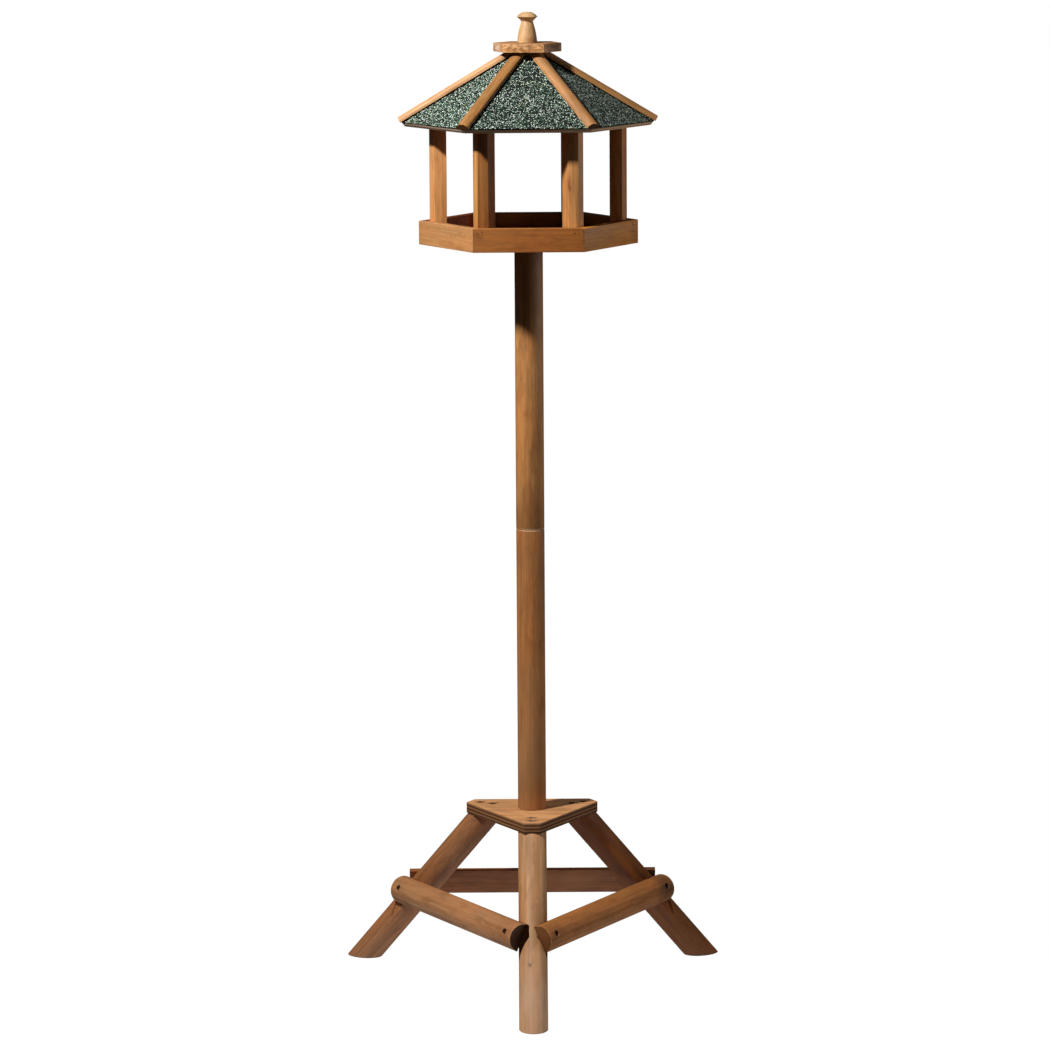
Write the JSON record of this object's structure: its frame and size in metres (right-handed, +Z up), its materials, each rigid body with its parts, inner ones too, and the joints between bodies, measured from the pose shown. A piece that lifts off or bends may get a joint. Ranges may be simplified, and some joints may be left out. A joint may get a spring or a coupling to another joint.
{
  "type": "bird table",
  "caption": "Free-standing bird table: open hexagonal feeding house with a felted hip roof and turned knob, on a round pole and a splayed, braced leg stand.",
  "frame": {"origin": "on the ground, under the middle of the footprint of the stand", "axes": "+Z up, front leg towards -Y, +X to the right seen from the front"},
  "size_m": [0.5424, 0.4746, 1.3786],
  "materials": {
    "stained_rod": "softwood rod with a thin brown stain, satin",
    "stained_board": "planed softwood with a thin honey-brown stain, satin",
    "stained_plywood": "plywood with a thin brown stain and layered edges",
    "light_moulding": "light stained softwood strip, satin",
    "turned_wood": "turned pale wood, smooth",
    "mineral_felt": "bitumen felt with green mineral granules",
    "zinc_steel": "zinc-plated steel"
  },
  "bodies": {
    "root": {"lower_pole": "stained_rod", "upper_pole": "stained_rod", "leg_front": "stained_rod", "leg_left": "stained_rod", "leg_right": "stained_rod", "brace_back": "stained_rod", "brace_left": "stained_rod", "brace_right": "stained_rod", "base_plate": "stained_plywood", "tray_floor": "stained_plywood", "tray_side_1": "stained_board", "tray_side_2": "stained_board", "tray_side_3": "stained_board", "tray_side_4": "stained_board", "tray_side_5": "stained_board", "tray_side_6": "stained_board", "post_1": "stained_board", "post_2": "stained_board", "post_3": "stained_board", "post_4": "stained_board", "post_5": "stained_board", "post_6": "stained_board", "roof_panel_1": "stained_plywood", "roof_panel_2": "stained_plywood", "roof_panel_3": "stained_plywood", "roof_panel_4": "stained_plywood", "roof_panel_5": "stained_plywood", "roof_panel_6": "stained_plywood", "roof_felt_1": "mineral_felt", "roof_felt_2": "mineral_felt", "roof_felt_3": "mineral_felt", "roof_felt_4": "mineral_felt", "roof_felt_5": "mineral_felt", "roof_felt_6": "mineral_felt", "hip_batten_1": "light_moulding", "hip_batten_2": "light_moulding", "hip_batten_3": "light_moulding", "hip_batten_4": "light_moulding", "hip_batten_5": "light_moulding", "hip_batten_6": "light_moulding", "roof_block": "stained_board", "cap": "light_moulding", "knob": "turned_wood", "pole_joint_stud": "zinc_steel", "house_stud": "zinc_steel", "foot_screw": "zinc_steel", "plate_screws": "zinc_steel", "brace_screws": "zinc_steel", "post_screws": "zinc_steel", "tray_nails": "zinc_steel"}
  },
  "joints": []
}
